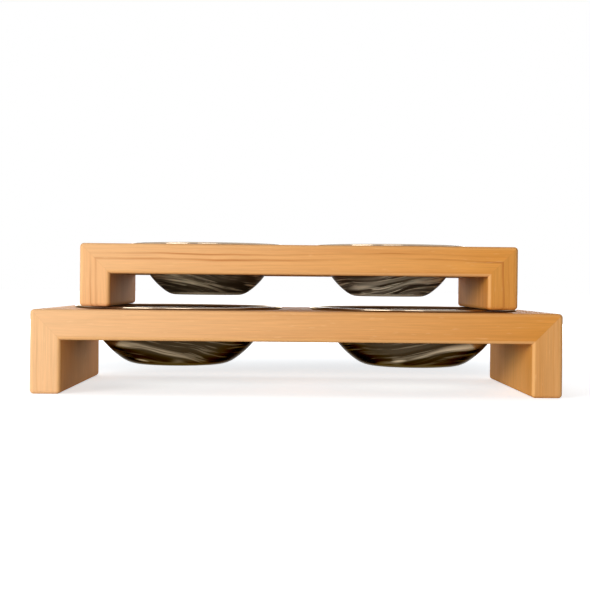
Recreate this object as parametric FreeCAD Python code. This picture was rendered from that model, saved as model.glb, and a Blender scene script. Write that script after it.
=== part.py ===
import FreeCAD, Part
import math
import os
from collections import namedtuple

# A stacked pair of raised dog bowl stands: the small stand stands on the bowl rims of the large one.
# Each stand is a waterfall frame. A top board and two leg panels come from one plank and meet in
# 45 degree mitres, with beech biscuits hidden in the joints. Two flanged steel bowls hang in each board.
# Millimetres, +Z up, front towards -Y. The origin is on the floor, under the middle of the large stand.

# Plank shared by both stands
BOARD_THICKNESS = 31.75
EDGE_ROUND = 4.0
HOLE_EDGE_ROUND = 1.5

# Large bowl
LARGE_MOUTH_DIAMETER = 209.0
LARGE_FLANGE_WIDTH = 12.5
LARGE_BOWL_DEPTH = 63.1
LARGE_HEEL_DIAMETER = 107.0
LARGE_HEEL_ROUND = 35.0
LARGE_WALL_BULGE_SHARE = 0.1064

# Small bowl
SMALL_MOUTH_DIAMETER = 157.0
SMALL_FLANGE_WIDTH = 9.0
SMALL_BOWL_DEPTH = 54.1
SMALL_HEEL_DIAMETER = 81.2
SMALL_HEEL_ROUND = 20.0
SMALL_WALL_BULGE_SHARE = 0.116

# Steel sheet of the bowls, and the curled bead at the edge of the flange
SHEET = 0.8
BEAD_BORE = 1.2
BEAD_TURN_DEGREES = 240.0

# Large stand, sized around its bowls
LARGE_RIM_GAP = 32.5
LARGE_LEG_MARGIN = 4.5
LARGE_FRONT_MARGIN = 18.0
LARGE_FLOOR_CLEARANCE = 24.5
LARGE_BISCUIT_COUNT = 3

# Small stand, sized around its bowls
SMALL_RIM_GAP = 32.0
SMALL_LEG_MARGIN = 14.75
SMALL_FRONT_MARGIN = 27.0
SMALL_FLOOR_CLEARANCE = 12.3
SMALL_BISCUIT_COUNT = 2
SMALL_STAND_SHIFT = 2.0

# Biscuits in the mitres
BISCUIT_LENGTH = 56.0
BISCUIT_WIDTH = 23.0
BISCUIT_THICKNESS = 4.0
BISCUIT_CURVE = 50.0
BISCUIT_PLACE_SHARE = 0.4

# Fits
HOLE_CLEARANCE = 2.0
RIM_SEAT_GAP = 0.2
LEG_SEAT_GAP = 0.2
SLOT_SIDE_CLEARANCE = 0.1
SLOT_END_CLEARANCE = 0.8
OVERRUN = 10.0
SAME_PLACE = 0.05

Bowl = namedtuple("Bowl", "mouth_radius flange_width depth heel_radius heel_round bulge_share")
Stand = namedtuple("Stand", "bowl rim_gap leg_margin front_margin floor_clearance biscuit_count")

LARGE_BOWL = Bowl(LARGE_MOUTH_DIAMETER / 2, LARGE_FLANGE_WIDTH, LARGE_BOWL_DEPTH,
                  LARGE_HEEL_DIAMETER / 2, LARGE_HEEL_ROUND, LARGE_WALL_BULGE_SHARE)
SMALL_BOWL = Bowl(SMALL_MOUTH_DIAMETER / 2, SMALL_FLANGE_WIDTH, SMALL_BOWL_DEPTH,
                  SMALL_HEEL_DIAMETER / 2, SMALL_HEEL_ROUND, SMALL_WALL_BULGE_SHARE)
LARGE_STAND = Stand(LARGE_BOWL, LARGE_RIM_GAP, LARGE_LEG_MARGIN, LARGE_FRONT_MARGIN,
                    LARGE_FLOOR_CLEARANCE, LARGE_BISCUIT_COUNT)
SMALL_STAND = Stand(SMALL_BOWL, SMALL_RIM_GAP, SMALL_LEG_MARGIN, SMALL_FRONT_MARGIN,
                    SMALL_FLOOR_CLEARANCE, SMALL_BISCUIT_COUNT)

BEAD_DIAMETER = BEAD_BORE + 2 * SHEET
RIM_HEIGHT = BEAD_DIAMETER + RIM_SEAT_GAP
ORIGIN = FreeCAD.Vector(0, 0, 0)
ACROSS = FreeCAD.Vector(1, 0, 0)
DEEP = FreeCAD.Vector(0, 1, 0)
UP = FreeCAD.Vector(0, 0, 1)


def rim_radius(bowl):
    return bowl.mouth_radius + bowl.flange_width


def hole_radius(bowl):
    return bowl.mouth_radius + HOLE_CLEARANCE


def bowl_spacing(stand):
    return 2 * rim_radius(stand.bowl) + stand.rim_gap


def stand_length(stand):
    end = BOARD_THICKNESS + stand.leg_margin + hole_radius(stand.bowl)
    return bowl_spacing(stand) + 2 * end


def stand_depth(stand):
    return 2 * (rim_radius(stand.bowl) + stand.front_margin)


def stand_height(stand):
    return stand.bowl.depth + stand.floor_clearance


def at(x, z, y=0):
    return FreeCAD.Vector(x, y, z)


def line(start, end):
    return Part.makeLine(start, end)


def on_circle(centre, radius, degrees):
    turn = math.radians(degrees)
    return centre + at(radius * math.cos(turn), radius * math.sin(turn))


def arc(centre, radius, start, end):
    """An arc in the XZ plane, its two ends given in degrees from +X."""
    points = [on_circle(centre, radius, degrees) for degrees in (start, (start + end) / 2, end)]
    return Part.Arc(*points).toShape()


def mirrored(shape):
    return shape.mirror(ORIGIN, ACROSS)


def prism(outline, depth):
    """A closed XZ outline, carried through the depth of a stand and centred on it."""
    start = [at(x, z, -depth / 2) for x, z in outline]
    return Part.Face(Part.makePolygon(start + start[:1])).extrude(DEEP * depth)


def rounded_frame(stand):
    """Top and legs of one stand in one piece, every edge rounded but the two inside corners."""
    half = stand_length(stand) / 2
    inner = half - BOARD_THICKNESS
    top = stand_height(stand)
    underside = top - BOARD_THICKNESS
    right_half = [(half, top), (half, 0), (inner, 0), (inner, underside)]
    left_half = [(-x, z) for x, z in reversed(right_half)]
    frame = prism(right_half + left_half, stand_depth(stand))
    corners = [at(inner, underside), at(-inner, underside)]
    edges = [edge for edge in frame.Edges
             if not any(edge.CenterOfMass.isEqual(corner, SAME_PLACE) for corner in corners)]
    return frame.makeFillet(EDGE_ROUND, edges)


def leg_region(stand):
    """The space of the left leg, bounded by the mitre plane through the stand's two left corners."""
    outer = -stand_length(stand) / 2
    inner = outer + BOARD_THICKNESS
    top = stand_height(stand)
    underside = top - BOARD_THICKNESS
    outline = [(outer - OVERRUN, top + OVERRUN), (inner + OVERRUN, underside - OVERRUN),
               (inner + OVERRUN, -OVERRUN), (outer - OVERRUN, -OVERRUN)]
    return prism(outline, stand_depth(stand) + 2 * OVERRUN)


def lens(curve, width, thickness):
    """A flat plate between two equal arcs, its length along X, its width along Y."""
    disc = Part.makeCylinder(curve, thickness, at(0, -thickness / 2, width / 2 - curve))
    other = Part.makeCylinder(curve, thickness, at(0, -thickness / 2, curve - width / 2))
    return disc.common(other)


def biscuit():
    plate = lens(BISCUIT_CURVE, BISCUIT_WIDTH, BISCUIT_THICKNESS)
    corner = at(-BISCUIT_LENGTH / 2, -BISCUIT_THICKNESS / 2, -BISCUIT_WIDTH / 2)
    return plate.common(Part.makeBox(BISCUIT_LENGTH, BISCUIT_WIDTH, BISCUIT_THICKNESS, corner))


def biscuit_slot():
    width = BISCUIT_WIDTH + 2 * SLOT_END_CLEARANCE
    return lens(BISCUIT_CURVE, width, BISCUIT_THICKNESS + 2 * SLOT_SIDE_CLEARANCE)


def in_left_mitre(shape, stand):
    """Copies of a flat shape stood square to the left mitre, spread over the stand's depth."""
    across_joint = FreeCAD.Vector(1, 0, 1).normalize()
    along_joint = DEEP.cross(across_joint)
    turn = FreeCAD.Rotation(DEEP, across_joint, along_joint, "XYZ")
    from_inside = BOARD_THICKNESS * BISCUIT_PLACE_SHARE
    inner = BOARD_THICKNESS - stand_length(stand) / 2
    underside = stand_height(stand) - BOARD_THICKNESS
    pitch = stand_depth(stand) / stand.biscuit_count
    copies = []
    for index in range(stand.biscuit_count):
        y = pitch * (index + 0.5) - stand_depth(stand) / 2
        copy = shape.copy()
        copy.Placement = FreeCAD.Placement(at(inner - from_inside, underside + from_inside, y), turn)
        copies.append(copy)
    return Part.makeCompound(copies)


def left_leg(stand, frame):
    return frame.common(leg_region(stand)).cut(in_left_mitre(biscuit_slot(), stand))


def top_board(stand, frame):
    region = leg_region(stand)
    slots = in_left_mitre(biscuit_slot(), stand)
    board = frame.cut([region, mirrored(region), slots, mirrored(slots)])
    radius = hole_radius(stand.bowl)
    underside = stand_height(stand) - BOARD_THICKNESS
    bore = Part.makeCylinder(radius, BOARD_THICKNESS + 2 * OVERRUN,
                             at(bowl_spacing(stand) / 2, underside - OVERRUN))
    board = board.cut([bore, mirrored(bore)])
    hole_edges = [edge for edge in board.Edges
                  if edge.isClosed() and abs(edge.Length - 2 * math.pi * radius) < SAME_PLACE]
    return board.makeFillet(HOLE_EDGE_ROUND, hole_edges)


def bowl_solid(bowl):
    """A spun bowl of even sheet: flat foot, rounded heel, bulged wall, lip, flange and curled bead.

    The foot stands at z = 0 and the wall meets the lip level with the board that carries the bowl.
    Angles are slopes of the wall, in degrees from level.
    """
    mouth = at(bowl.mouth_radius, bowl.depth)
    chord = mouth - at(bowl.heel_radius, 0)
    sagitta = chord.Length * bowl.bulge_share
    wall_radius = chord.Length ** 2 / (8 * sagitta) + sagitta / 2
    half_sweep = math.asin(chord.Length / (2 * wall_radius))
    mouth_slope = math.degrees(math.atan2(chord.z, chord.x) + half_sweep)
    wall_centre = on_circle(mouth, wall_radius, mouth_slope + 90)

    heel_reach = wall_radius - bowl.heel_round
    heel_drop = wall_centre.z - bowl.heel_round
    foot_radius = wall_centre.x + math.sqrt(heel_reach ** 2 - heel_drop ** 2)
    heel_centre = at(foot_radius, bowl.heel_round)
    heel_slope = math.degrees(math.acos(heel_drop / heel_reach))

    flange_under = bowl.depth + RIM_HEIGHT - SHEET
    flange_top = flange_under + SHEET
    lip_radius = (flange_under - bowl.depth) / (1 - math.cos(math.radians(mouth_slope)))
    lip_centre = on_circle(mouth, lip_radius, mouth_slope - 90)
    bead_centre = at(rim_radius(bowl) - BEAD_DIAMETER / 2, flange_under - BEAD_BORE / 2)
    bead_end = 90 - BEAD_TURN_DEGREES

    outside = [line(ORIGIN, at(foot_radius, 0)),
               arc(heel_centre, bowl.heel_round, -90, heel_slope - 90),
               arc(wall_centre, wall_radius, heel_slope - 90, mouth_slope - 90),
               arc(lip_centre, lip_radius, mouth_slope + 90, 90),
               line(at(lip_centre.x, flange_under), at(bead_centre.x, flange_under)),
               arc(bead_centre, BEAD_BORE / 2, 90, bead_end)]
    edge = line(on_circle(bead_centre, BEAD_BORE / 2, bead_end),
                on_circle(bead_centre, BEAD_DIAMETER / 2, bead_end))
    inside = [arc(bead_centre, BEAD_DIAMETER / 2, bead_end, 90),
              line(at(bead_centre.x, flange_top), at(lip_centre.x, flange_top)),
              arc(lip_centre, lip_radius + SHEET, 90, mouth_slope + 90),
              arc(wall_centre, wall_radius - SHEET, mouth_slope - 90, heel_slope - 90),
              arc(heel_centre, bowl.heel_round - SHEET, heel_slope - 90, -90),
              line(at(foot_radius, SHEET), at(0, SHEET))]
    section = Part.Wire(outside + [edge] + inside + [line(at(0, SHEET), ORIGIN)])
    return Part.Face(section).revolve(ORIGIN, UP, 360)


def stand_pieces(stand):
    """Every piece of one stand by its short name, with the stand's feet at z = 0."""
    frame = rounded_frame(stand)
    leg = left_leg(stand, frame)
    biscuits = in_left_mitre(biscuit(), stand)
    bowl = bowl_solid(stand.bowl)
    bowl.translate(at(bowl_spacing(stand) / 2, stand.floor_clearance))
    return {"top_board": top_board(stand, frame),
            "left_leg": leg, "right_leg": mirrored(leg),
            "left_biscuits": biscuits, "right_biscuits": mirrored(biscuits),
            "left_bowl": mirrored(bowl), "right_bowl": bowl}


def write_stand(size, stand, place):
    for name, shape in stand_pieces(stand).items():
        shape.translate(place)
        shape.exportStep(os.path.join("parts", f"{size}_{name}.step"))


os.makedirs("parts", exist_ok=True)
write_stand("large", LARGE_STAND, ORIGIN)
stack_height = stand_height(LARGE_STAND) + RIM_HEIGHT + LEG_SEAT_GAP
write_stand("small", SMALL_STAND, at(SMALL_STAND_SHIFT, stack_height))
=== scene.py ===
import math
from collections import namedtuple

import bpy
from mathutils import Matrix, Vector


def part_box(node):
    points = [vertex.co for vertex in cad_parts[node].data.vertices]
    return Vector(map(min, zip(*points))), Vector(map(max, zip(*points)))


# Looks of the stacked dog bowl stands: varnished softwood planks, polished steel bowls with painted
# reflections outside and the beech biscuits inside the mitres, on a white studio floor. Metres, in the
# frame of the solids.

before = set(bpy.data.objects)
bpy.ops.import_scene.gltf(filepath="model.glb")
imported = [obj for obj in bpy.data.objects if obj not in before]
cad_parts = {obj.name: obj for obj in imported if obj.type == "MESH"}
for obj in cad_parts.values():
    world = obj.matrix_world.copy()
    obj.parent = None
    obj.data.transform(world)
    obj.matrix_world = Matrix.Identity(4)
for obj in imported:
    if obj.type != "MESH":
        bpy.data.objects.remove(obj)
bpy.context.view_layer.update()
scene = bpy.context.scene
MM = 0.001
WHITE = (1.0, 1.0, 1.0)

Softbox = namedtuple("Softbox", "name place width height watts mirrored")
Plank = namedtuple("Plank", "along across depth")
Wall = namedtuple("Wall", "across ahead level")
Masks = namedtuple("Masks", "inside rim bead")

# Camera of the photograph, fitted to the edges of the stands
PHOTO_SIZE = (590, 591)
SENSOR_MM = 36.0
FOCAL_PIXELS = 1244.1
CAMERA_PLACE = (-12.64 * MM, -1420.99 * MM, 115.56 * MM)
CAMERA_YAW, CAMERA_PITCH, CAMERA_ROLL = 0.0080, -0.0088, 0.0097

# Studio: softboxes, of which steel mirrors all but the top one, and an even light from all round
SOFTBOXES = [
    Softbox("key_light", (-1.80, -1.95, 0.55), 1.5, 0.7, 49.0, True),
    Softbox("front_light", (0.10, -2.75, 0.62), 1.3, 0.7, 24.0, True),
    Softbox("top_light", (0.0, 0.3, 2.6), 2.0, 2.0, 10.0, False),
    Softbox("back_light", (0.0, 2.4, 0.55), 3.4, 0.9, 44.0, True),
]
LIGHT_AIM = (0.0, 0.0, 0.08)
AMBIENT = 0.20

# Floor: lit near the stands; far from the lamps it glows more, so that no horizon shows
FLOOR_ALBEDO = (0.85, 0.88, 0.91)
FLOOR_HALF = 16.0
FLOOR_CORNERS = ((-1, -1), (1, -1), (1, 1), (-1, 1))
GLOW_REACH, GLOW_LEVELS = (0.5, 1.8), (0.58, 0.95)
# Its glow is weaker in the soft shadow behind the stands
SHADE_SIDES, SHADE_FRONT, SHADE_BACK = (0.18, 0.40), (0.03, 0.27), (0.33, 0.68)
SHADE_DEPTH = 0.21

# Noise: how many finer layers it has, how strong they are, its mean, and the span that changes a shine
NOISE_SMOOTH, NOISE_COARSE, NOISE_PLAIN, NOISE_FINE = 0.0, 1.0, 2.0, 3.0
NOISE_EVEN, NOISE_GRITTY = 0.5, 0.6
NOISE_MIDDLE = 0.5
SHINE_NOISE = (0.2, 0.8)
# The two plain results of a ramp
RISING, FALLING = (0.0, 1.0), (1.0, 0.0)
# The mix node has several sockets of each name, so these are found by their places in it
COLOUR_SOCKETS, COLOUR_RESULT = (6, 7), 2
NUMBER_SOCKETS, NUMBER_RESULT = (2, 3), 0

# Wood: growth rings round a pith line beside and below the plank. Rates are noise cells per metre along
# the plank, across it and down from its outer face.
PITH_SIDE, PITH_DEPTH = -0.36, 0.25
RING_SPACING = 3.4 * MM
RING_WANDER, RING_WANDER_RATES = 9.0 * MM, (5.0, 9.0, 9.0)
RING_UNEVEN, RING_UNEVEN_RATE = 1.6, 70.0
LATEWOOD_RISES, LATEWOOD_FALLS = (0.40, 0.82), (0.80, 0.99)
LATEWOOD_RELIEF = 0.1
# The lines fade in and out along each ring, in groups of rings, and away from the front face
LINE_FADE_RATES = (7.0, 0.71)
LINE_FADE_NOISE, LINE_FADED = (0.36, 0.66), 0.14
GROUP_SPACING = 16.0 * MM
GROUP_WAVE, GROUP_FAINTEST = (-0.5, 0.6), 0.12
BACK_LINES_FROM, BACK_LINES = (15.0 * MM, 70.0 * MM), 0.32
# Slow changes of tone, fibres and short pale flecks
TONE_RATES, TONE_NOISE = (2.2, 22.0, 60.0), (0.34, 0.68)
FIBRE_RATES = (26.0, 900.0, 900.0)
FIBRE_NOISE, FIBRE_SHADE = (0.25, 0.75), (0.90, 1.08)
FLECK_RATES, FLECK_NOISE = (70.0, 520.0, 520.0), (0.66, 0.80)
FLECK = (0.95, 0.66, 0.36)
# Painted sheen of the key light: paler towards the left end, in shares of half the plank; less on the inner
# faces, which begin at a share of its thickness
SHEEN_REACH, SHEEN_MOST = (0.9, -1.1), 0.9
INNER_STARTS, SHEEN_INSIDE = 0.85, 0.25
# Varnish: its shine, a painted highlight on its rounded edges, weaker on the outer side than on the inner
# one, and the glue line
WOOD_ROUGHNESS, INNER_ROUGHNESS = (0.60, 0.70), 0.75
WOOD_SPECULAR = 0.06
WOOD_BUMP, WOOD_BUMP_STRENGTH = 0.10 * MM, 0.5
EDGE_ROUND = 4.0 * MM
EDGE_HIGHLIGHT_FULL = 0.6 * EDGE_ROUND
EDGE_HIGHLIGHT = (0.86, 0.51, 0.23)
EDGE_HIGHLIGHT_STRENGTHS = (0.15, 0.45)
GLUE_LINE, GLUE_STRENGTH = (0.26, 0.10, 0.03), 0.15
GLUE_FADES = (0.15 * MM, 0.375 * MM)
# Per piece, the outer faces get small tone differences and, on the right legs, a painted greyer sheen,
# strongest on the large one; the inner faces get painted light and shade, darker on the small left leg and
# lighter on the right legs. The pale colour towards the left end is a painted sheen.
WOOD_LOOKS = {
    "small": {
        "seed": 3.0,
        "pale": (0.645, 0.275, 0.056),
        "deep": (0.55, 0.210, 0.034),
        "painted_sheen": (0.77, 0.450, 0.220),
        "line": (0.40, 0.125, 0.023),
        "line_strength": {"top_board": 0.85, "left_leg": 0.60, "right_leg": 1.0},
        "group_radius": 0.341,
        "fleck_strength": 0.10,
        "tone_and_sheen": {"top_board": WHITE, "left_leg": (1.0, 0.96, 0.92), "right_leg": (0.94, 0.97, 1.0)},
        "inner_light_and_shade": {
            "top_board": (1.0, 1.0, 0.9), "left_leg": (0.90, 0.84, 0.66), "right_leg": (1.16, 1.14, 0.95)},
    },
    "large": {
        "seed": 11.0,
        "pale": (0.63, 0.268, 0.056),
        "deep": (0.58, 0.233, 0.042),
        "painted_sheen": (0.77, 0.470, 0.250),
        "line": (0.46, 0.170, 0.030),
        "line_strength": {"top_board": 0.24, "left_leg": 0.24, "right_leg": 0.36},
        "group_radius": 0.347,
        "fleck_strength": 0.16,
        "tone_and_sheen": {"top_board": WHITE, "left_leg": (1.0, 0.99, 0.96), "right_leg": (1.0, 1.17, 1.95)},
        "inner_light_and_shade": {
            "top_board": (1.0, 1.0, 0.9), "left_leg": (1.05, 1.02, 0.90), "right_leg": (1.21, 1.28, 1.20)},
    },
}

# Beech of the hidden biscuits
BEECH, BEECH_RAY = (0.56, 0.33, 0.16), (0.40, 0.20, 0.085)
RAY_RATES, RAY_NOISE = (900.0, 180.0, 900.0), (0.52, 0.72)
BEECH_ROUGHNESS = 0.75
BEECH_BUMP, BEECH_BUMP_STRENGTH = 0.1 * MM, 0.4

# Steel sheet of the bowls: rings of the spinning inside, a rougher flange with a painted dark reflection,
# and a bright bead
STEEL_INSIDE, INSIDE_ROUGHNESS = (0.62, 0.60, 0.57), (0.10, 0.20)
INSIDE_FACING = (-0.06, 0.10)
FLANGE_DARK_REFLECTION, FLANGE_ROUGHNESS = (0.33, 0.245, 0.165), 0.30
FLANGE_DEPTHS = (6.0 * MM, 2.5 * MM)
BEAD_WIDTH, BEAD_BLUR = 2.2 * MM, 0.5 * MM
BEAD_ROUGHNESS = 0.13
STEEL_EDGE_TINT = (0.30, 0.27, 0.23)
SPIN_RATE = 1400.0
SPIN_DEPTHS = (3.0 * MM, 8.0 * MM)
SPIN_NOISE, SPIN_TONE = (0.25, 0.75), (0.82, 1.12)
SPIN_BUMP, SPIN_BUMP_STRENGTH = 0.02 * MM, 0.3
# The small bowls are satin outside, less like metal in the painted reflection streaks than between them
SHEET_LOOKS = {
    "large": {"bead": (0.42, 0.34, 0.25), "roughness": (0.14, 0.24)},
    "small": {"bead": (0.50, 0.41, 0.31), "roughness": (0.38, 0.46), "satin": (0.62, 0.30)},
}

# Painted reflections outside, as pale streaks on a dark ground, in the places of a Wall: across it from -1
# on the stand's outer side to 1 on its inner side, ahead from -1 in front to 1 behind, and level from 0 at
# the foot to 1 at the board.
STREAK_SEED_RATE = 40.0
# A broad painted reflection streak sweeps down across the wall
STREAK_LEVEL, STREAK_SWEEP, STREAK_BEND = 0.42, -0.42, 1.6
STREAK_SWAY, STREAK_SWAY_RATES = 0.25, (2.0, 1.5)
STREAK_WIDTH = 0.14
STREAK_NARROWS, STREAK_NARROW = (-0.9, 0.6), 0.40
STREAK_UPPER_EDGE, STREAK_LOWER_EDGE = (0.0, 2.2), (-0.9, 0.1)
STREAK_BEGINS = (-1.0, -0.85)
STREAK_FADES, STREAK_FADED = (-0.6, 0.7), 0.25
# Threads divide it, and go on beside it as thin streaks that are plainest in front
THREAD_RATES = (16.0, 1.6)
THREAD_GAP_NOISE, THREAD_GAP = (0.36, 0.54), 0.35
THIN_NOISE = (0.54, 0.64)
THIN_FADES, THIN_BEHIND = (-0.5, 0.2), 0.20
# Faint wide ones run along it, and a painted pale reflection lies round the foot
FAINT_RATES = (4.5, 0.6)
FAINT_NOISE, FAINT_LEAST = (0.42, 0.75), 0.02
FAINT_FADES, FAINT_FADED = (0.30, 0.90), 0.25
FOOT_LEVELS = (0.17, 0.06)
# Thin and faint streaks are weaker in the hole of the board, where the photograph shows none
CALM_LEVELS, CALM_SHARE = (0.85, 1.35), 0.30
# Spots in the painted reflections: a painted glint on each bowl, and a painted dark pool with a pale
# underside on the large ones
SPOT_TILT = 0.3
GLINT_EDGE = (0.1, 1.0)
POOL_EDGE, POOL_DIMMED = (0.5, 1.2), 0.15
POOL_OUTLINE, POOL_OUTLINE_RISES, POOL_OUTLINE_FALLS = 0.24, (0.6, 1.1), (1.1, 1.7)
POOL_UNDERSIDE = (0.05, -0.15)
# Per bowl: the dark ground and the pale colour of its painted reflections, the strengths of the faint, thin
# and foot reflections, and the places and sizes of its painted glint and pool
BOWL_LOOKS = {
    "large_left": {
        "dark": (0.032, 0.019, 0.007), "pale": (0.56, 0.45, 0.30),
        "faint": 0.06, "thin": 0.22, "foot": 0.30,
        "glint": (-0.55, 0.20), "glint_size": (0.16, 0.06),
        "pool": (-0.25, 0.30), "pool_size": (0.30, 0.15),
    },
    "large_right": {
        "dark": (0.032, 0.019, 0.007), "pale": (0.56, 0.46, 0.32),
        "faint": 0.08, "thin": 0.26, "foot": 0.38,
        "glint": (0.31, 0.27), "glint_size": (0.20, 0.07),
        "pool": (-0.02, 0.26), "pool_size": (0.36, 0.14),
    },
    "small_left": {
        "dark": (0.050, 0.028, 0.009), "pale": (1.0, 0.84, 0.57),
        "faint": 0.22, "thin": 0.50, "foot": 0.8,
        "glint": (0.88, 0.50), "glint_size": (0.16, 0.06),
    },
    "small_right": {
        "dark": (0.055, 0.032, 0.012), "pale": (1.0, 0.89, 0.67),
        "faint": 0.56, "thin": 1.0, "foot": 1.0,
        "glint": (0.62, 0.45), "glint_size": (0.42, 0.18),
    },
}


class Nodes:
    """Shader nodes of one material or of the world, with short calls for what the looks use."""

    def __init__(self, owner):
        owner.use_nodes = True
        self.owner = owner
        self.tree = owner.node_tree
        self.tree.nodes.clear()

    def add(self, kind, inputs=None, **settings):
        node = self.tree.nodes.new(kind)
        for key, value in settings.items():
            setattr(node, key, value)
        for key, value in (inputs or {}).items():
            self.feed(node.inputs[key], value)
        return node

    def feed(self, socket, value):
        if isinstance(value, bpy.types.NodeSocket):
            self.tree.links.new(value, socket)
        elif socket.type == "RGBA":
            socket.default_value = (*value, 1.0)
        else:
            socket.default_value = value

    def math(self, operation, *values):
        return self.add("ShaderNodeMath", dict(enumerate(values)), operation=operation).outputs[0]

    def chain(self, operation, first, *others):
        for other in others:
            first = self.math(operation, first, other)
        return first

    def product(self, *values):
        return self.chain("MULTIPLY", *values)

    def largest(self, *values):
        return self.chain("MAXIMUM", *values)

    def apart(self, first, second):
        return self.math("ABSOLUTE", self.math("SUBTRACT", first, second))

    def vector(self, x, y, z):
        return self.add("ShaderNodeCombineXYZ", {"X": x, "Y": y, "Z": z}).outputs[0]

    def split(self, vector):
        return self.add("ShaderNodeSeparateXYZ", {0: vector}).outputs[:3]

    def length(self, x, y):
        flat = self.vector(x, y, 0.0)
        return self.add("ShaderNodeVectorMath", {0: flat}, operation="LENGTH").outputs["Value"]

    def object_point(self):
        return self.split(self.add("ShaderNodeTexCoord").outputs["Object"])

    def facing(self):
        return self.split(self.add("ShaderNodeTexCoord").outputs["Normal"])

    def scaled(self, point, rates, seed=0.0):
        """Place in a noise of a point: times a rate on each axis, moved along the first by a seed."""
        first = self.math("MULTIPLY_ADD", point[0], rates[0], seed)
        return self.vector(first, self.product(point[1], rates[1]), self.product(point[2], rates[2]))

    def scaled_flat(self, first, second, rates, seed):
        """Place in a noise of two coordinates, in the layer that a seed gives."""
        return self.vector(self.product(first, rates[0]), self.product(second, rates[1]), seed)

    def noise(self, vector, detail, roughness=NOISE_EVEN):
        inputs = {"Vector": vector, "Scale": 1.0, "Detail": detail, "Roughness": roughness}
        return self.add("ShaderNodeTexNoise", inputs).outputs["Fac"]

    def swing(self, vector, detail, reach):
        """Noise about zero."""
        return self.product(self.math("SUBTRACT", self.noise(vector, detail), NOISE_MIDDLE), reach)

    def remap(self, value, span, result=RISING, smooth=True):
        """A ramp that has the first result at the start of a span and the second at its end."""
        inputs = {"Value": value, "From Min": span[0], "From Max": span[1],
                  "To Min": result[0], "To Max": result[1]}
        kind = "SMOOTHSTEP" if smooth else "LINEAR"
        return self.add("ShaderNodeMapRange", inputs, interpolation_type=kind).outputs["Result"]

    def mix(self, factor, first, second, blend="MIX"):
        """Mix of two colours."""
        inputs = {"Factor": factor, COLOUR_SOCKETS[0]: first, COLOUR_SOCKETS[1]: second}
        node = self.add("ShaderNodeMix", inputs, data_type="RGBA", blend_type=blend)
        return node.outputs[COLOUR_RESULT]

    def shaded(self, colour, shade):
        return self.mix(1.0, colour, self.vector(shade, shade, shade), "MULTIPLY")

    def blend(self, factor, first, second):
        """Mix of two numbers."""
        inputs = {"Factor": factor, NUMBER_SOCKETS[0]: first, NUMBER_SOCKETS[1]: second}
        return self.add("ShaderNodeMix", inputs).outputs[NUMBER_RESULT]

    def bump(self, height, distance, strength):
        inputs = {"Height": height, "Distance": distance, "Strength": strength}
        return self.add("ShaderNodeBump", inputs).outputs["Normal"]

    def finish(self, shader):
        self.add("ShaderNodeOutputMaterial", {"Surface": shader.outputs[0]})
        return self.owner

    def principled(self, inputs):
        return self.finish(self.add("ShaderNodeBsdfPrincipled", inputs))


class Stand:
    """Places of one stand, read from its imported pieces."""

    def __init__(self, name):
        self.name = name
        left_low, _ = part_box(f"{name}_left_leg")
        _, right_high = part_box(f"{name}_right_leg")
        board_low, board_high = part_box(f"{name}_top_board")
        self.middle = (left_low.x + right_high.x) / 2
        self.half = (right_high.x - left_low.x) / 2
        self.top = board_high.z
        self.thickness = board_high.z - board_low.z
        self.front = board_low.y
        self.middle_across = (board_low.y + board_high.y) / 2
        self.half_across = (board_high.y - board_low.y) / 2
        self.inner_side = (INNER_STARTS * self.thickness, self.thickness)


def new_material(name):
    return Nodes(bpy.data.materials.new(name))


def plank_point(nodes, stand, piece):
    """Coordinates in the uncut plank: along it, across it and down from its outer face.

    The legs go on where the board ends, so grain lines turn down at the mitres.
    """
    x, y, z = nodes.object_point()
    x = nodes.math("SUBTRACT", x, stand.middle)
    below_top = nodes.math("SUBTRACT", stand.top, z)
    if piece == "top_board":
        return Plank(x, y, below_top)
    side = -1.0 if piece == "left_leg" else 1.0
    along = nodes.product(nodes.math("ADD", below_top, stand.half), side)
    depth = nodes.math("SUBTRACT", stand.half, nodes.product(x, side))
    return Plank(along, y, depth)


def ring_radius(nodes, plank, seed):
    """Distance from the pith line, which wanders as in a grown trunk."""
    aside = nodes.math("SUBTRACT", plank.across, PITH_SIDE)
    below = nodes.math("SUBTRACT", plank.depth, PITH_DEPTH)
    wander = nodes.swing(nodes.scaled(plank, RING_WANDER_RATES, seed), NOISE_FINE, RING_WANDER)
    return nodes.math("ADD", nodes.length(aside, below), wander)


def ring_lines(nodes, plank, look):
    """Latewood lines of the growth rings, from 0 between them to 1 on their dark edge."""
    seed = look["seed"]
    radius = ring_radius(nodes, plank, seed)
    uneven_place = nodes.vector(nodes.product(radius, RING_UNEVEN_RATE), seed, 0.0)
    uneven = nodes.noise(uneven_place, NOISE_COARSE)
    turns = nodes.math("MULTIPLY_ADD", uneven, RING_UNEVEN, nodes.math("DIVIDE", radius, RING_SPACING))
    phase = nodes.math("FRACT", turns)
    rise = nodes.remap(phase, LATEWOOD_RISES)
    fall = nodes.remap(phase, LATEWOOD_FALLS, FALLING)
    fade_place = nodes.scaled_flat(plank.along, nodes.math("FLOOR", turns), LINE_FADE_RATES, seed)
    fade = nodes.remap(nodes.noise(fade_place, NOISE_COARSE), LINE_FADE_NOISE, (LINE_FADED, 1.0))
    group = nodes.math("DIVIDE", nodes.math("SUBTRACT", radius, look["group_radius"]), GROUP_SPACING)
    wave = nodes.math("COSINE", nodes.product(group, 2 * math.pi))
    strong = nodes.remap(wave, GROUP_WAVE, (GROUP_FAINTEST, 1.0))
    return nodes.product(rise, fall, nodes.product(fade, strong))


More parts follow.
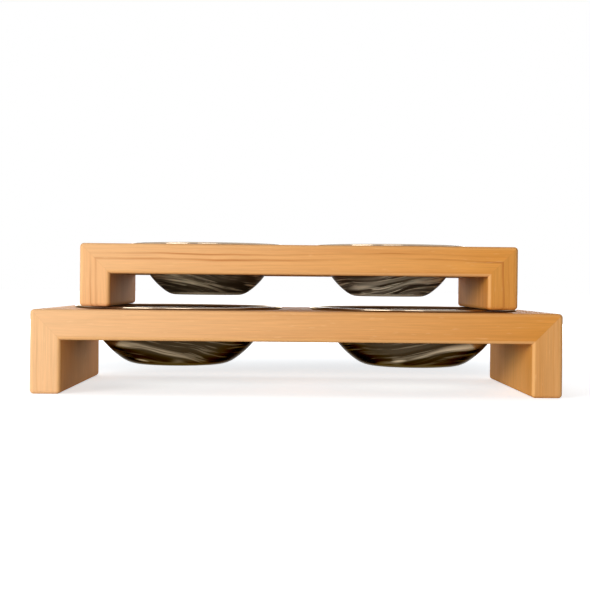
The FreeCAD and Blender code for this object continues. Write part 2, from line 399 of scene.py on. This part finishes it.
def plank_colour(nodes, plank, stand, piece, is_inner):
    """Ground colour: a slow change of tone, a painted sheen that pales the left end, small tones and
    painted sheen of the outer faces, and painted light and shade on the inner faces.
    """
    look = WOOD_LOOKS[stand.name]
    tone = nodes.noise(nodes.scaled(plank, TONE_RATES, look["seed"]), NOISE_FINE)
    colour = nodes.mix(nodes.remap(tone, TONE_NOISE), look["pale"], look["deep"])
    is_outer = nodes.remap(plank.depth, stand.inner_side, (1.0, SHEEN_INSIDE))
    # Painted sheen of the key light: paler towards the left end, less on the inner faces
    sheen_reach = [share * stand.half for share in SHEEN_REACH]
    painted_sheen = nodes.remap(plank.along, sheen_reach, (0.0, SHEEN_MOST), smooth=False)
    colour = nodes.mix(nodes.product(painted_sheen, is_outer), colour, look["painted_sheen"])
    # Outer faces: small tone differences and painted sheen; inner faces: painted light and shade
    colour = nodes.mix(is_outer, colour, look["tone_and_sheen"][piece], "MULTIPLY")
    return nodes.mix(is_inner, colour, look["inner_light_and_shade"][piece], "MULTIPLY")


def line_strength(nodes, plank, stand, piece):
    """How dark the ring lines are: as the photograph shows in front, and fainter behind."""
    in_front = WOOD_LOOKS[stand.name]["line_strength"][piece]
    reach = [stand.front + distance for distance in BACK_LINES_FROM]
    return nodes.remap(plank.across, reach, (in_front, min(in_front, BACK_LINES)))


def grained(nodes, colour, plank, look, dark_lines, fibre):
    """A colour with ring lines, the shade of the fibres and pale flecks."""
    colour = nodes.mix(dark_lines, colour, look["line"])
    colour = nodes.shaded(colour, nodes.remap(fibre, FIBRE_NOISE, FIBRE_SHADE, smooth=False))
    fleck = nodes.noise(nodes.scaled(plank, FLECK_RATES, look["seed"]), NOISE_COARSE)
    fleck = nodes.remap(fleck, FLECK_NOISE)
    return nodes.mix(nodes.product(fleck, look["fleck_strength"]), colour, FLECK)


def painted_edge_highlight(nodes, plank, stand):
    """How strong the painted highlight is on a plank's rounded long edges, most on the inner ones.

    It is 0 on the faces. On a rounding, the distances to the two faces that it joins add up to less than
    its radius.
    """
    half_depth = stand.thickness / 2
    from_middle = nodes.apart(plank.across, stand.middle_across)
    from_core = nodes.apart(plank.depth, half_depth)
    outward = nodes.math("ADD", from_middle, from_core)
    to_faces = nodes.math("SUBTRACT", stand.half_across + half_depth, outward)
    on_edge = nodes.remap(to_faces, (EDGE_ROUND, EDGE_HIGHLIGHT_FULL))
    return nodes.product(on_edge, nodes.remap(plank.depth, (0.0, stand.thickness), EDGE_HIGHLIGHT_STRENGTHS))


def glue_line(nodes, plank, stand):
    """The thin line of glue in a mitre, where the depth and the distance to the plank's end agree."""
    to_end = nodes.apart(nodes.math("ABSOLUTE", plank.along), stand.half)
    to_joint = nodes.apart(to_end, plank.depth)
    return nodes.remap(to_joint, GLUE_FADES, (GLUE_STRENGTH, 0.0))


def wood(stand, piece):
    """Varnished softwood of one plank."""
    look = WOOD_LOOKS[stand.name]
    nodes = new_material(f"{stand.name}_{piece}_wood")
    plank = plank_point(nodes, stand, piece)
    lines = ring_lines(nodes, plank, look)
    fibre = nodes.noise(nodes.scaled(plank, FIBRE_RATES, look["seed"]), NOISE_FINE, NOISE_GRITTY)
    is_inner = nodes.remap(plank.depth, stand.inner_side)

    dark_lines = nodes.product(lines, line_strength(nodes, plank, stand, piece))
    colour = plank_colour(nodes, plank, stand, piece, is_inner)
    colour = grained(nodes, colour, plank, look, dark_lines, fibre)
    # Painted highlight on the rounded long edges
    colour = nodes.mix(painted_edge_highlight(nodes, plank, stand), colour, EDGE_HIGHLIGHT)
    colour = nodes.mix(glue_line(nodes, plank, stand), colour, GLUE_LINE)
    roughness = nodes.remap(fibre, SHINE_NOISE, WOOD_ROUGHNESS, smooth=False)
    height = nodes.math("MULTIPLY_ADD", lines, LATEWOOD_RELIEF, fibre)
    return nodes.principled({
        "Base Color": colour,
        "Roughness": nodes.blend(is_inner, roughness, INNER_ROUGHNESS),
        "Normal": nodes.bump(height, WOOD_BUMP, WOOD_BUMP_STRENGTH),
        "Specular IOR Level": WOOD_SPECULAR,
    })


def beech():
    """Pressed beech of the hidden biscuits, with short dark rays."""
    nodes = new_material("beech_biscuit")
    ray = nodes.noise(nodes.scaled(nodes.object_point(), RAY_RATES), NOISE_PLAIN)
    ray = nodes.remap(ray, RAY_NOISE)
    return nodes.principled({
        "Base Color": nodes.mix(ray, BEECH, BEECH_RAY),
        "Roughness": BEECH_ROUGHNESS,
        "Normal": nodes.bump(ray, BEECH_BUMP, BEECH_BUMP_STRENGTH),
    })


def above_sweep(nodes, wall, seed):
    """Height above the middle of the broad streak, which sways a little."""
    bend = nodes.math("TANH", nodes.product(wall.across, STREAK_BEND))
    middle = nodes.math("MULTIPLY_ADD", bend, STREAK_SWEEP, STREAK_LEVEL)
    sway_place = nodes.scaled_flat(wall.across, wall.level, STREAK_SWAY_RATES, seed)
    sway = nodes.swing(sway_place, NOISE_SMOOTH, STREAK_SWAY)
    return nodes.math("ADD", nodes.math("SUBTRACT", wall.level, middle), sway)


def broad_streak(nodes, across, above):
    """The broad painted reflection streak, narrower and fainter towards the stand's inner side."""
    width = nodes.product(nodes.remap(across, STREAK_NARROWS, (1.0, STREAK_NARROW)), STREAK_WIDTH)
    share = nodes.math("DIVIDE", above, width)
    upper = nodes.remap(share, STREAK_UPPER_EDGE, FALLING)
    lower = nodes.remap(share, STREAK_LOWER_EDGE)
    fading = nodes.remap(across, STREAK_FADES, (1.0, STREAK_FADED))
    return nodes.product(upper, lower, nodes.product(fading, nodes.remap(across, STREAK_BEGINS)))


def faint_streaks(nodes, across, above, most, seed):
    """Wide faint painted reflection streaks that run along the broad one."""
    faint = nodes.noise(nodes.scaled_flat(above, across, FAINT_RATES, seed), NOISE_COARSE)
    faint = nodes.remap(faint, FAINT_NOISE, (FAINT_LEAST, most))
    return nodes.product(faint, nodes.remap(across, FAINT_FADES, (1.0, FAINT_FADED)))


def painted_reflections(nodes, wall, look, seed):
    """Painted reflections: all that is pale on a bowl's outside, from 0 to 1."""
    above = above_sweep(nodes, wall, seed)
    thread_place = nodes.scaled_flat(above, wall.across, THREAD_RATES, seed)
    threads = nodes.noise(thread_place, NOISE_PLAIN, NOISE_GRITTY)
    gaps = nodes.remap(threads, THREAD_GAP_NOISE, (THREAD_GAP, 1.0))
    broad = nodes.product(broad_streak(nodes, wall.across, above), gaps)
    thin = nodes.remap(threads, THIN_NOISE, (0.0, look["thin"]))
    thin = nodes.product(thin, nodes.remap(wall.ahead, THIN_FADES, (1.0, THIN_BEHIND)))
    faint = faint_streaks(nodes, wall.across, above, look["faint"], seed)
    calm = nodes.remap(wall.level, CALM_LEVELS, (1.0, CALM_SHARE))
    beside = nodes.product(nodes.largest(faint, thin), calm)
    foot = nodes.remap(wall.level, FOOT_LEVELS, (0.0, look["foot"]))
    pale = nodes.largest(broad, beside, foot)
    if "pool" in look:
        pale = with_pool(nodes, wall, look, pale)
    from_glint = from_spot(nodes, wall, look["glint"], look["glint_size"])
    return nodes.largest(pale, nodes.remap(from_glint, GLINT_EDGE, FALLING))


def from_spot(nodes, wall, place, size):
    """Distance from a spot that is stretched along the streaks, 1 at its edge."""
    aside = nodes.math("SUBTRACT", wall.across, place[0])
    rise = nodes.math("MULTIPLY_ADD", aside, SPOT_TILT, nodes.math("SUBTRACT", wall.level, place[1]))
    return nodes.length(nodes.math("DIVIDE", aside, size[0]), nodes.math("DIVIDE", rise, size[1]))


def with_pool(nodes, wall, look, pale):
    """The painted reflections with a painted dark pool in them that has a pale underside."""
    away = from_spot(nodes, wall, look["pool"], look["pool_size"])
    underside = [look["pool"][1] + distance for distance in POOL_UNDERSIDE]
    outline = nodes.product(nodes.remap(away, POOL_OUTLINE_RISES, (0.0, POOL_OUTLINE)),
                            nodes.remap(away, POOL_OUTLINE_FALLS, FALLING),
                            nodes.remap(wall.level, underside))
    dimmed = nodes.product(pale, nodes.remap(away, POOL_EDGE, (POOL_DIMMED, 1.0)))
    return nodes.largest(dimmed, outline)


def spin_rings(nodes, radius, up, under_rim, seed):
    """Fine rings left by spinning; none on the rim."""
    place = nodes.vector(nodes.product(radius, SPIN_RATE), seed, up)
    ring = nodes.math("SUBTRACT", nodes.noise(place, NOISE_FINE, NOISE_GRITTY), NOISE_MIDDLE)
    return nodes.math("MULTIPLY_ADD", ring, nodes.remap(under_rim, SPIN_DEPTHS), NOISE_MIDDLE)


def bowl_masks(nodes, radius, under_rim, rim_radius):
    """Where a bowl's inside, its flange with the rim, and the outer part of its bead are."""
    bead_start = rim_radius - BEAD_WIDTH
    return Masks(nodes.remap(nodes.facing()[2], INSIDE_FACING),
                 nodes.remap(under_rim, FLANGE_DEPTHS),
                 nodes.remap(radius, (bead_start - BEAD_BLUR, bead_start + BEAD_BLUR)))


def steel_colour(nodes, outside, ring, masks, bead):
    """Colour of a whole bowl, from that of its outside and of its bead."""
    tone = nodes.remap(ring, SPIN_NOISE, SPIN_TONE, smooth=False)
    colour = nodes.mix(masks.inside, outside, nodes.shaded(STEEL_INSIDE, tone))
    # Painted dark reflection on the flange
    colour = nodes.mix(masks.rim, colour, FLANGE_DARK_REFLECTION)
    return nodes.mix(masks.bead, colour, bead)


def steel_roughness(nodes, ring, masks, outside_range):
    """Roughness of a whole bowl, from the range that it has outside."""
    outside = nodes.remap(ring, SHINE_NOISE, outside_range)
    inside = nodes.remap(ring, SHINE_NOISE, INSIDE_ROUGHNESS)
    roughness = nodes.blend(masks.inside, outside, inside)
    roughness = nodes.blend(masks.rim, roughness, FLANGE_ROUGHNESS)
    return nodes.blend(masks.bead, roughness, BEAD_ROUGHNESS)


def steel(size, side, turn):
    """Polished sheet: painted reflections outside, as sweeping pale streaks on a dark ground, a painted
    dark reflection on the flange, and a paler inside with rings left by spinning.
    """
    low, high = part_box(f"{size}_{side}_bowl")
    board_low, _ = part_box(f"{size}_top_board")
    look, sheet = BOWL_LOOKS[f"{size}_{side}"], SHEET_LOOKS[size]
    nodes = new_material(f"{size}_{side}_bowl_steel")
    x, y, z = nodes.object_point()
    x = nodes.math("SUBTRACT", x, (low.x + high.x) / 2)
    up = nodes.math("SUBTRACT", z, low.z)
    under_rim = nodes.math("SUBTRACT", high.z - low.z, up)
    radius = nodes.length(x, y)
    wall = Wall(across=nodes.product(nodes.math("DIVIDE", x, radius), turn),
                ahead=nodes.math("DIVIDE", y, radius),
                level=nodes.math("DIVIDE", up, board_low.z - low.z))

    reflection_streaks = painted_reflections(nodes, wall, look, STREAK_SEED_RATE * low.x)
    ring = spin_rings(nodes, radius, up, under_rim, low.x)
    masks = bowl_masks(nodes, radius, under_rim, (high.x - low.x) / 2)
    # The outside's colour is painted reflection: pale streaks on a dark ground
    outside = nodes.mix(reflection_streaks, look["dark"], look["pale"])
    metal = 1.0
    if "satin" in sheet:
        metal = nodes.blend(masks.inside, nodes.blend(reflection_streaks, *sheet["satin"]), 1.0)
    return nodes.principled({
        "Base Color": steel_colour(nodes, outside, ring, masks, sheet["bead"]),
        "Metallic": metal,
        "Roughness": steel_roughness(nodes, ring, masks, sheet["roughness"]),
        "Specular Tint": STEEL_EDGE_TINT,
        "Normal": nodes.bump(nodes.product(ring, masks.inside), SPIN_BUMP, SPIN_BUMP_STRENGTH),
    })


def paint(node, material):
    """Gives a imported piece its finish, in the material slots that it came with."""
    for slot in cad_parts[node].material_slots:
        slot.material = material


def dress_stand(name):
    """Gives all pieces of one stand and its bowls their finish."""
    stand = Stand(name)
    for piece in ("top_board", "left_leg", "right_leg"):
        paint(f"{name}_{piece}", wood(stand, piece))
    for side, turn in (("left", 1.0), ("right", -1.0)):
        paint(f"{name}_{side}_biscuits", beech())
        paint(f"{name}_{side}_bowl", steel(name, side, turn))


def seen_directly(nodes):
    """1 for camera, mirror and see-through rays, which all show the background as it is."""
    path = nodes.add("ShaderNodeLightPath").outputs
    return nodes.largest(path["Is Glossy Ray"], path["Is Transmission Ray"], path["Is Camera Ray"])


def floor_shade(nodes, x, y):
    """How much less the floor glows in the soft shadow behind the stands."""
    sides = nodes.remap(nodes.math("ABSOLUTE", x), SHADE_SIDES, (SHADE_DEPTH, 0.0))
    return nodes.product(sides, nodes.remap(y, SHADE_FRONT), nodes.remap(y, SHADE_BACK, FALLING))


def floor_white():
    """Matt white that also glows where it is seen directly."""
    nodes = new_material("studio_floor")
    x, y, _ = nodes.object_point()
    whiteness = nodes.remap(nodes.length(x, y), GLOW_REACH, GLOW_LEVELS)
    whiteness = nodes.math("SUBTRACT", whiteness, floor_shade(nodes, x, y))
    glow_level = nodes.product(seen_directly(nodes), whiteness)
    matt = nodes.add("ShaderNodeBsdfDiffuse", {"Color": FLOOR_ALBEDO})
    glow = nodes.add("ShaderNodeEmission", {"Color": WHITE, "Strength": glow_level})
    return nodes.finish(nodes.add("ShaderNodeAddShader", {0: matt.outputs[0], 1: glow.outputs[0]}))


def make_floor():
    corners = [(x * FLOOR_HALF, y * FLOOR_HALF, 0.0) for x, y in FLOOR_CORNERS]
    mesh = bpy.data.meshes.new("studio_floor")
    mesh.from_pydata(corners, [], [range(len(corners))])
    mesh.materials.append(floor_white())
    floor = bpy.data.objects.new("studio_floor", mesh)
    scene.collection.objects.link(floor)


def make_world():
    """White where it is seen, and a weaker even light on the object."""
    scene.world = bpy.data.worlds.new("studio")
    nodes = Nodes(scene.world)
    level = nodes.remap(seen_directly(nodes), RISING, (AMBIENT, 1.0), smooth=False)
    back = nodes.add("ShaderNodeBackground", {"Color": WHITE, "Strength": level})
    nodes.add("ShaderNodeOutputWorld", {"Surface": back.outputs[0]})


def make_lights():
    for softbox in SOFTBOXES:
        lamp = bpy.data.lights.new(softbox.name, "AREA")
        lamp.shape = "RECTANGLE"
        lamp.size = softbox.width
        lamp.size_y = softbox.height
        lamp.energy = softbox.watts
        light = bpy.data.objects.new(softbox.name, lamp)
        light.visible_glossy = softbox.mirrored
        light.location = softbox.place
        aim = Vector(LIGHT_AIM) - Vector(softbox.place)
        light.rotation_euler = aim.to_track_quat("-Z", "Y").to_euler()
        scene.collection.objects.link(light)


def make_camera():
    forward = Vector((math.sin(CAMERA_YAW) * math.cos(CAMERA_PITCH),
                      math.cos(CAMERA_YAW) * math.cos(CAMERA_PITCH), math.sin(CAMERA_PITCH)))
    level_right = Vector((math.cos(CAMERA_YAW), -math.sin(CAMERA_YAW), 0.0))
    level_up = level_right.cross(forward)
    right = level_right * math.cos(CAMERA_ROLL) + level_up * math.sin(CAMERA_ROLL)
    up = level_up * math.cos(CAMERA_ROLL) - level_right * math.sin(CAMERA_ROLL)
    data = bpy.data.cameras.new("camera")
    data.sensor_width = SENSOR_MM
    data.lens = FOCAL_PIXELS / max(PHOTO_SIZE) * SENSOR_MM
    camera = bpy.data.objects.new("camera", data)
    turn = Matrix((right, up, -forward)).transposed()
    camera.matrix_world = Matrix.Translation(CAMERA_PLACE) @ turn.to_4x4()
    scene.collection.objects.link(camera)
    scene.camera = camera


for stand_name in ("large", "small"):
    dress_stand(stand_name)
make_floor()
make_world()
make_lights()
make_camera()
scene.view_settings.view_transform = "Standard"
